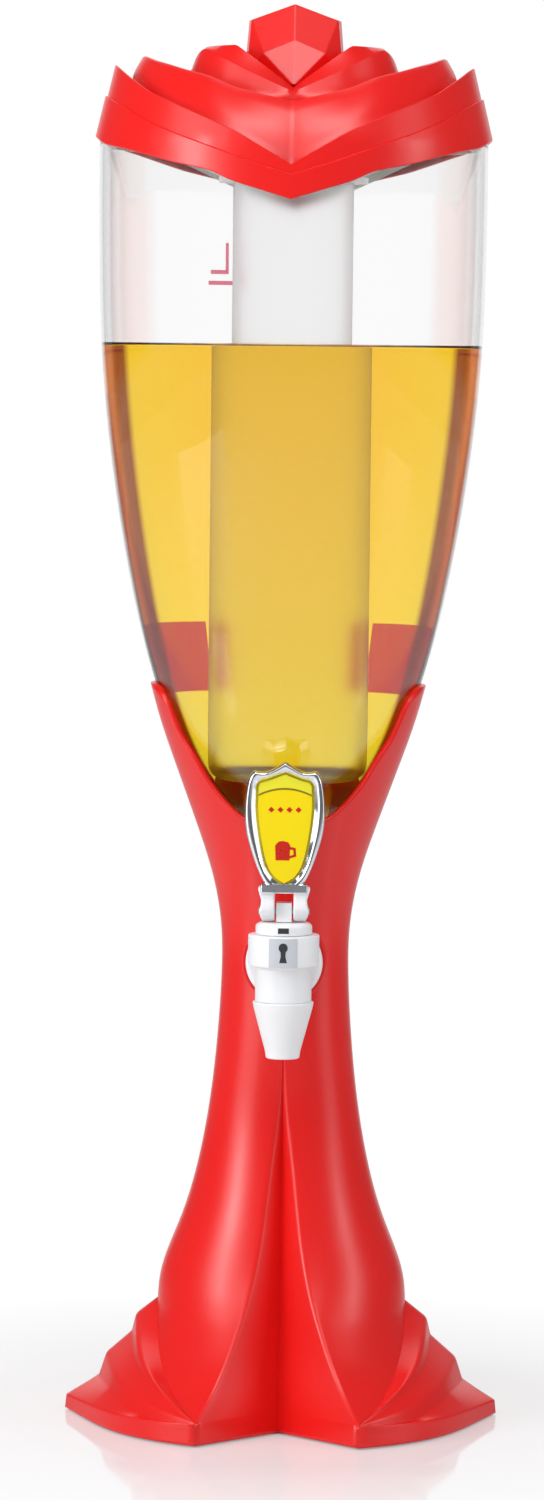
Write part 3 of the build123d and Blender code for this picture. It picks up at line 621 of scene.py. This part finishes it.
ringFoot, ringTop = lidForm["ringRadius"]
lidRows = [
    # lower edge and the band's outside, up to its step
    lidRow(bandRadius(2.4), onLine("lower", 0.9)), lidRow(bandRadius(0.5), onLine("lower", 0.1)),
    lidRow(bandRadius(), onLine("lower", 0.6)),
    *[lidRow(bandRadius(), between("lower", "step", f)) for f in (0.25, 0.5, 0.75)],
    lidRow(bandRadius(), onLine("step", -0.3)), lidRow(bandRadius(0.35), onLine("step", 0.05)),
    lidRow(bandRadius(1.0), onLine("step", 0.3)),
    # above the step, and over the band's top edge
    *[lidRow(bandRadius(1.0), between("step", "upper", f)) for f in (0.3, 0.6)],
    lidRow(bandRadius(1.0), onLine("upper", -0.6)), lidRow(bandRadius(1.4), onLine("upper", -0.1)),
    lidRow(bandRadius(2.4), onLine("upper", -0.1)), lidRow(bandRadius(3.0), onLine("upper", -0.6)),
    lidRow(lambda z, a: 83 - 9.4 * sideOnly(a),
           lambda x, a: lineAt(lidForm["upper"], x) - 1.2 - 1.2 * sideOnly(a)),
    # shoulder, collar and the dish inside it
    *[shoulderRow(f) for f in (0.04, 0.2, 0.4, 0.6, 0.8, 0.97)],
    lidRow(evenRadius(67.2), onLine("collar", 0.15)), lidRow(evenRadius(66.0), onLine("collar", 0.1)),
    lidRow(evenRadius(64.0), onLine("collar", -0.5)),
    lidRow(evenRadius(57.0), between("collar", "ringFoot", 0.5, -0.5)),
    # rosette ring, the notched top inside it and the hole for the cap
    lidRow(evenRadius(49.2), onLine("ringFoot", 0.3)), lidRow(evenRadius(48.0), onLine("ringFoot")),
    *[lidRow(evenRadius(ringFoot - 2.8 * f), between("ringFoot", "ringTop", f)) for f in (0.1, 0.5, 0.95)],
    lidRow(evenRadius(ringTop), onLine("ringTop", 0.05)),
    *[lidRow(evenRadius(rho), onLine("notch", soft=1.0)) for rho in (40, 33, 26)],
    lidRow(evenRadius(24.7), onLine("notch", -0.1, 1.0)),
    lidRow(evenRadius(24.2), onLine("notch", -0.6, 1.0)),
    lidRow(evenRadius(24.2), lambda x, a: np.full_like(x, 590.0)),
]
lidGrid = np.stack(lidRows)
lidFaces = gridFaces(len(lidRows), lidForm["cols"], True)
meshPiece("lid_crown_shell", [(lidGrid.reshape(-1, 3), lidFaces)], redAbs, "lid",
          ["lid_crown"], sharp=32, wall=lidForm["wall"])

# the knob's corners, for one quarter that is mirrored twice
knobForm = {
    "apex": (0, -13.5, 635), "shoulder": (19.4, -9.5, 628), "mid": (20.6, 0, 628.3), "top": (0, -20, 618.4),
    "corner": (13.6, -21.4, 612.6), "toe": (0, -31, 598), "foot": (21.5, -13, 604), "side": (22.6, 0, 604),
    "ridge": (0, 0, 635), "centre": (0, 0, 604),
}
knobFacets = [("apex", "shoulder", "corner", "top"), ("top", "corner", "toe"), ("shoulder", "foot", "corner"),
              ("foot", "toe", "corner"), ("shoulder", "mid", "side", "foot"),
              ("ridge", "mid", "shoulder", "apex"), ("centre", "side", "foot", "toe")]
knobParts = []
for names in knobFacets:
    knobParts.append((np.array([knobForm[name] for name in names], float), [list(range(len(names)))]))
knobParts += [mirrored(part, 0) for part in knobParts]
knobParts += [mirrored(part, 1) for part in knobParts]
meshPiece("cap_knob_facets", knobParts, redAbs, "cap", ["cap_knob"], sharp=5, bevel=0.5)
skirtLine = [(0, 604), (23.7, 604, 0.6), (23.7, 588, 0.6), (21.3, 588, 0.6), (21.3, 601, 0.6), (0, 601)]
meshPiece("cap_skirt", [turned(roundedProfile(skirtLine), 128)], redAbs, "cap")
print("lid done")

tapForm = {
    "y": -52.0, "shank": 208.8, "neckHeight": 207.3,
    # radius, height, rounding
    "barrel": [(0, 223.3), (15.75, 223.3, 0.7), (15.75, 209.4, 1.2), (12.5, 208.6, 1.0), (12.5, 193.5, 0.3),
               (10.5, 193.5), (10.5, 190.1), (0, 190.1)],
    "spout": [(11.0, 193.4), (13.6, 193.4, 0.7), (13.1, 190.6, 1.5), (7.7, 170.6, 1.6), (7.55, 168.0, 1.3),
              (5.7, 168.0, 0.5), (5.5, 190.1), (11.0, 190.1), (11.0, 193.4)],
    "bonnet": [(2.6, 223.45), (12.55, 223.45, 0.4), (12.55, 227.4, 0.8), (10.8, 228.65, 0.6),
               (2.6, 228.65, 0.3), (2.6, 223.45)],
    # radius, y, rounding
    "neck": [(0, -50), (9.6, -50), (9.6, -36.1, 0.5), (8, -36.1), (8, -13.6, 0.6), (5, -13.6), (5, -46),
             (0, -46)],
    "rose": [(8.1, -32.5), (17.2, -32.5, 0.4), (17.2, -34.4, 1.0), (15.6, -36.0, 0.9), (8.1, -36.0),
             (8.1, -32.5)],
}
axis = (0, tapForm["y"])
barrel, spout, bonnet = (turned(roundedProfile(tapForm[key]), 128, axis)
                         for key in ("barrel", "spout", "bonnet"))
neck = turned(roundedProfile(tapForm["neck"]), 96, (0, tapForm["neckHeight"]), "y")
rose = turned(roundedProfile(tapForm["rose"]), 128, (0, tapForm["shank"]), "y")
meshPiece("tap_barrel", [barrel, neck], whiteAbs, "stand", ["tap_body"], sharp=38)
meshPiece("tap_spout", [spout], whiteAbs, "stand", ["spout"], sharp=45)
meshPiece("tap_bonnet", [bonnet], whiteAbs, "stand", ["bonnet"], sharp=40)
meshPiece("tap_rose", [rose], whiteAbs, "stand", ["tap_flange"], sharp=40)


def onBarrel(outline, radius, thick):
    # front-view (x, z) outline bent round the barrel: angle = x / radius
    outline = np.asarray(outline, float)
    n = len(outline)
    rows = []
    for r in (radius, radius + thick):
        angle = outline[:, 0] / radius
        rows.append(np.c_[r * np.sin(angle), tapForm["y"] - r * np.cos(angle), outline[:, 1]])
    return np.vstack(rows), gridFaces(2, n, True) + [list(range(n)), list(range(2 * n - 1, n - 1, -1))]


def stripOnBarrel(left, right, low, high, radius, thick, cols=13):
    x = np.linspace(left, right, cols)
    outline = [(a, low) for a in x] + [(a, high) for a in x[::-1]]
    points, faces = onBarrel(outline, radius, thick)
    n = 2 * cols
    bands = [[i, i + 1, n - 2 - i, n - 1 - i] for i in range(cols - 1)]
    return points, gridFaces(2, n, True) + bands + [[n + i for i in band[::-1]] for band in bands]


# left, right, low, high, radius and thickness of the panel in front of the barrel
panel = stripOnBarrel(-6.4, 6.4, 209.8, 222.6, 15.7, 0.3)
meshPiece("tap_panel", [panel], greyPp, "stand", sharp=40)
keyholeForm = {"across": 2.0, "up": 2.1, "height": 218.6, "radius": 16.0, "thick": 0.12,
               "foot": [(-1.0, 214.9), (-1.7, 212.0), (1.7, 212.0), (1.0, 214.9)]}
keyTop = [(keyholeForm["across"] * math.cos(a), keyholeForm["height"] + keyholeForm["up"] * math.sin(a))
          for a in np.radians(np.linspace(-55, 235, 16))]
keyhole = onBarrel(keyTop + keyholeForm["foot"], keyholeForm["radius"], keyholeForm["thick"])
# painted shade: the keyhole is a thin dark sheet laid on the barrel's panel
meshPiece("tap_keyhole", [keyhole], darkSlot, "stand", sharp=40)
# painted shade: the bonnet's notch is a thin dark plate laid on the bonnet's front
notch = prism([(-2.4, 224.6), (2.4, 224.6), (2.4, 227.0), (-2.4, 227.0)], -64.62, -63.9)
meshPiece("bonnet_notch", [notch], darkSlot, "stand", sharp=40)

badgeForm = {
    "outer": [(0, 300.1), (4.8, 297.1), (9.5, 295.4), (13.7, 296.0), (14.9, 294.6), (16.8, 289),
              (17.6, 281.5), (17.2, 271), (14.3, 259.6), (10.6, 250), (6.2, 244), (0, 241.9)],
    "inner": [(0, 294.6), (3.8, 293.2), (7.6, 291.8), (10.7, 291.0), (11.6, 290.2), (12.1, 287.2),
              (12.2, 281.5), (11.6, 273), (9.9, 262.3), (7.4, 253.6), (4.2, 249.0), (0, 246.4)],
    # share of the way inwards, y
    "section": [(0.0, -53.0), (0.0, -58.6), (0.06, -59.4), (0.16, -59.85), (0.3, -60.0), (0.44, -59.85),
                (0.56, -59.4), (0.94, -57.4), (1.0, -57.2)],
    "back": -53.0, "floor": -57.2, "middle": 271,
}


def badgeCurve(key, count=15):
    # straight-ish top, then a smooth side: two splines that meet at the shoulder, mirrored
    line = badgeForm[key]
    top = splineThrough(line[:4], count)[:-1]
    side = splineThrough(line[3:], count * 3)
    half = np.vstack([top, side])
    return np.vstack([half, (half * (-1, 1))[::-1][1:-1]])


edge, innerEdge = badgeCurve("outer"), badgeCurve("inner")
rings = []
for part, y in badgeForm["section"]:
    ring = edge + (innerEdge - edge) * part
    rings.append(np.c_[ring[:, 0], np.full(len(ring), y), ring[:, 1]])


def shrunk(line, y, shares):
    # rings at one depth, the line drawn in towards the middle of the badge
    middle = badgeForm["middle"]
    return [np.c_[line[:, 0] * f, np.full(len(line), y), middle + (line[:, 1] - middle) * f] for f in shares]


badgeRows = np.stack(shrunk(edge, badgeForm["back"], (0.02, 0.9)) + rings
                     + shrunk(innerEdge, badgeForm["floor"], (0.5, 0.02)))
n, last = len(edge), len(badgeRows) - 1
badgeCaps = [list(range(n)), list(range(last * n, (last + 1) * n))[::-1]]
badge = (badgeRows.reshape(-1, 3), gridFaces(len(badgeRows), n, True) + badgeCaps)
# the cheeks' lower front stays near the pin, so that it clears the bonnet when the handle tilts
cheekRows = [(229.2, 4.3, 9.6, -54.0, -49.6), (229.9, 4.2, 9.9, -54.8, -48.6),
             (231.5, 4.2, 10.6, -56.7, -47.8), (234.0, 4.2, 11.0, -59.6, -47.6),
             (236.5, 4.2, 10.3, -59.6, -48.2), (238.8, 4.2, 10.1, -58.6, -49.6),
             (241.5, 4.2, 10.9, -58.6, -50.2), (243.6, 4.2, 11.5, -58.8, -50.6),
             (244.6, 4.6, 11.2, -58.4, -51.0)]
cheek = stacked(cheekRows, 1.0)
bridgeRows = [(242.0, -9.8, 9.8, -59.4, -51.6), (242.5, -10.4, 10.4, -60.0, -51.0),
              (245.8, -10.4, 10.4, -60.0, -51.0), (246.4, -9.8, 9.8, -59.4, -51.6)]
bridge = stacked(bridgeRows, 0.8)
meshPiece("handle_badge_frame", [badge, bridge], chrome, "handle", ["handle_frame"], sharp=35)
meshPiece("handle_cheeks", [cheek, mirrored(cheek, 0)], whiteAbs, "handle", sharp=50)
# y of the plate's front and back, thickness of its prints, share of the frame's inner width
plateForm = {"face": -58.3, "back": -57.15, "zonePrint": 0.04, "markPrint": 0.07, "width": 0.975}
plateFace = plateForm["face"]
plateOutline = innerEdge * (plateForm["width"], 1)
meshPiece("handle_plate", [prism(plateOutline, plateFace, plateForm["back"])], yellowPrint, "handle",
          ["handle_insert"], sharp=40)


def platePrint(name, outlines, thick, material):
    prints = [prism(outline, plateFace - thick, plateFace) for outline in outlines]
    meshPiece(name, prints, material, "handle", sharp=40, weld=0.002)


def archAt(x, lift=0.0):
    # printed arch: z = 288.6 - x^2 / 48
    return 288.6 + lift - np.asarray(x) ** 2 / 48


archX = np.linspace(-11.7, 11.7, 25)
topEdge = plateOutline[plateOutline[:, 1] > 286.2]
crownTop = topEdge[np.argsort(topEdge[:, 0])]
lime = [*zip(archX, archAt(archX)), *(tuple(p) for p in crownTop[::-1] * (0.985, 1))]
platePrint("plate_top_zone", [lime], plateForm["zonePrint"], limePrint)
arch = [*zip(archX, archAt(archX, 0.1)), *zip(archX[::-1], archAt(archX[::-1], -0.75))]
platePrint("plate_arch", [arch], plateForm["markPrint"], olivePrint)
# a row of four diamonds, and a mug with its handle
marks = [[(x - 1.4, 279.0), (x, 277.7), (x + 1.4, 279.0), (x, 280.3)] for x in (-6.0, -2.0, 2.0, 6.0)]
marks.append([(-3.9, 256.6), (2.2, 256.6), (2.5, 263.2), (1.6, 264.6), (-0.6, 265.2), (-2.6, 264.9),
              (-4.2, 263.2)])
marks.append([(2.3, 262.6), (4.9, 262.2), (5.2, 258.4), (2.3, 257.4), (2.3, 258.6), (4.0, 259.2),
              (3.9, 261.2), (2.3, 261.5)])
platePrint("plate_marks", marks, plateForm["markPrint"], redPrint)
print("tap done")

# pieces that keep the solid's form, with their finish
finishes = {
    redAbs: ["base_plate"], whiteAbs: ["lid_liner", "tank_cradle", "valve_stem", "tank_nut", "shank_nut"],
    rubber: ["rubber_feet", "tap_gasket"],
    steel: ["base_screws", "shell_screws", "hose_clamps", "valve_spring", "lever_pin"],
    silicone: ["feed_elbow", "valve_seal", "tank_seal", "lid_gasket", "tube_gasket", "cap_gasket"],
}
for material, names in finishes.items():
    for name in names:
        mesh = nodes[name].data
        mesh.materials.clear()
        mesh.materials.append(material)
print("finishes done")

# half the table's side, where its gloss fades out to plain white, and how white it is before that
tableForm = {"half": 3, "colour": "F0F0F2", "fadeFrom": 0.13, "fadeTo": 0.33, "whiteNear": 0.3}
half = tableForm["half"]
floorMesh = bpy.data.meshes.new("floor")
floorCorners = [(-half, -half, 0), (half, -half, 0), (half, half, 0), (-half, half, 0)]
floorMesh.from_pydata(floorCorners, [], [(0, 1, 2, 3)])
floor = bpy.data.objects.new("floor", floorMesh)
bpy.context.scene.collection.objects.link(floor)
# acrylic table top, polished: white, mirrors what stands on it
floorMaterial, tree, shader = principled("white_acrylic_table", {
    "Base Color": linearColour(tableForm["colour"]), "IOR": 1.6, "Roughness": 0.07})
coords = addNode(tree, "TexCoord").outputs["Object"]
away = addNode(tree, "VectorMath", {0: coords}, operation="LENGTH")
fade = addNode(tree, "MapRange", {"Value": away.outputs["Value"], "From Min": tableForm["fadeFrom"],
                                  "From Max": tableForm["fadeTo"], "To Min": tableForm["whiteNear"]})
path = addNode(tree, "LightPath")
seen = addNode(tree, "Math", {0: path.outputs["Is Camera Ray"], 1: path.outputs["Is Transmission Ray"]},
               operation="MAXIMUM")
share = addNode(tree, "Math", {0: fade.outputs["Result"], 1: seen.outputs[0]}, operation="MULTIPLY")
white = addNode(tree, "Emission", {"Color": (1, 1, 1, 1), "Strength": 1.0})
mix = addNode(tree, "MixShader", {0: share.outputs[0], 1: shader.outputs[0], 2: white.outputs[0]})
tree.links.new(mix.outputs[0], tree.nodes["Material Output"].inputs["Surface"])
floorMesh.materials.append(floorMaterial)

softboxes = {
    # azimuth from the front towards +X, height, distance, width and length, radiance
    "key_softbox": (-58, 0.75, 1.8, (1.2, 1.8), 1.9), "fill_softbox": (74, 0.75, 1.8, (0.8, 1.6), 1.15),
    "key_accent": (-58, 0.78, 1.75, (0.4, 0.5), 11.0), "fill_accent": (74, 0.78, 1.75, (0.22, 0.4), 6.0),
    "top_softbox": (0, 1.75, 1.35, (2.6, 0.35), 3.0), "top_accent": (0, 2.3, 0.95, (1.1, 0.4), 9.0),
}
aim = Vector((0, 0, 0.32))
# the clear tank is kept out of the softboxes, so that no box is mirrored in front of the beer
shaded = bpy.data.collections.new("no_softbox")
for k, piece in enumerate((tank, beer, iceTube)):
    shaded.objects.link(piece)
    shaded.collection_objects[k].light_linking.link_state = "EXCLUDE"
for name, (azimuth, height, distance, size, radiance) in softboxes.items():
    # power = radiance * pi * area
    light = bpy.data.lights.new(name, "AREA")
    light.shape = "RECTANGLE"
    light.size, light.size_y = size
    light.energy = radiance * math.pi * size[0] * size[1]
    lamp = bpy.data.objects.new(name, light)
    bpy.context.scene.collection.objects.link(lamp)
    a = math.radians(azimuth)
    lamp.location = (distance * math.sin(a), -distance * math.cos(a), height)
    lamp.rotation_euler = (aim - lamp.location).to_track_quat("-Z", "Y").to_euler()
    lamp.visible_camera = False
    lamp.light_linking.receiver_collection = shaded

screenForm = {
    # a zone starts at the first value and is full at the second
    "sweep": (0.78, 0.82), "beside": (0.2, 0.12), "warmer": (0.72, 0.6), "mirror": (0.9, 0.95),
    "below": (-0.055, -0.09),
    # colours: screen beside the sweep and farther out, the room in gloss and in soft light, the sweep itself
    "nearSweep": (0.24, 0.03, 0.01, 1), "farOut": (0.85, 0.2, 0.06, 1),
    "glossGrey": (0.14, 0.14, 0.14, 1), "roomGrey": (0.42, 0.42, 0.42, 1), "white": (1, 1, 1, 1),
}
world = bpy.data.worlds.new("studio")
bpy.context.scene.world = world
world.use_nodes = True
tree = world.node_tree
path = addNode(tree, "LightPath")
# direction is the level share towards the back: a white sweep within 36 degrees of it, screens beside it
# that look warm through the clear pieces, white again from 80 degrees on and below the table's level
sky = addNode(tree, "TexCoord").outputs["Generated"]
height = addNode(tree, "SeparateXYZ", {0: sky}).outputs["Z"]
flat = addNode(tree, "VectorMath", {0: sky, 1: (1, 1, 0)}, operation="MULTIPLY")
flat = addNode(tree, "VectorMath", {0: flat.outputs[0]}, operation="NORMALIZE")
direction = addNode(tree, "SeparateXYZ", {0: flat.outputs[0]}).outputs["Y"]


def zone(key, value):
    start, full = screenForm[key]
    return addNode(tree, "MapRange", {"Value": value, "From Min": start, "From Max": full}).outputs["Result"]


def blended(factor, a, b):
    return addNode(tree, "Mix", {"Factor": factor, "A": a, "B": b}, data_type="RGBA").outputs["Result"]


def brighter(a, b):
    return addNode(tree, "Math", {0: a, 1: b}, operation="MAXIMUM").outputs[0]


bright = brighter(brighter(zone("sweep", direction), zone("beside", direction)), zone("below", height))
screen = blended(zone("warmer", direction), screenForm["nearSweep"], screenForm["farOut"])
clearView = blended(bright, screen, screenForm["white"])
glossView = blended(zone("mirror", direction), screenForm["glossGrey"], screenForm["white"])
view = blended(path.outputs["Is Glossy Ray"], screenForm["roomGrey"], glossView)
view = blended(path.outputs["Is Transmission Ray"], view, clearView)
view = blended(path.outputs["Is Camera Ray"], view, screenForm["white"])
tree.links.new(view, tree.nodes["Background"].inputs["Color"])

cameraForm = {"distance": 2.631, "height": 0.4835, "azimuth": 0.8, "pitch": -3.96, "turn": 0.152,
              "roll": 0.62, "sensor": 36, "lens": 140.33}
cameraData = bpy.data.cameras.new("camera")
cameraData.sensor_fit = "VERTICAL"
cameraData.sensor_height = cameraForm["sensor"]
cameraData.lens = cameraForm["lens"]
camera = bpy.data.objects.new("camera", cameraData)
bpy.context.scene.collection.objects.link(camera)
azimuth = math.radians(cameraForm["azimuth"])
distance = cameraForm["distance"]
place = Matrix.Translation((distance * math.sin(azimuth), -distance * math.cos(azimuth),
                            cameraForm["height"]))
turn = Matrix.Rotation(azimuth + math.radians(cameraForm["turn"]), 4, "Z")
tilt = Matrix.Rotation(math.radians(90 + cameraForm["pitch"]), 4, "X")
camera.matrix_world = place @ turn @ tilt @ Matrix.Rotation(math.radians(cameraForm["roll"]), 4, "Z")
bpy.context.scene.camera = camera
bpy.context.scene.view_settings.view_transform = "Standard"
print("stage done")
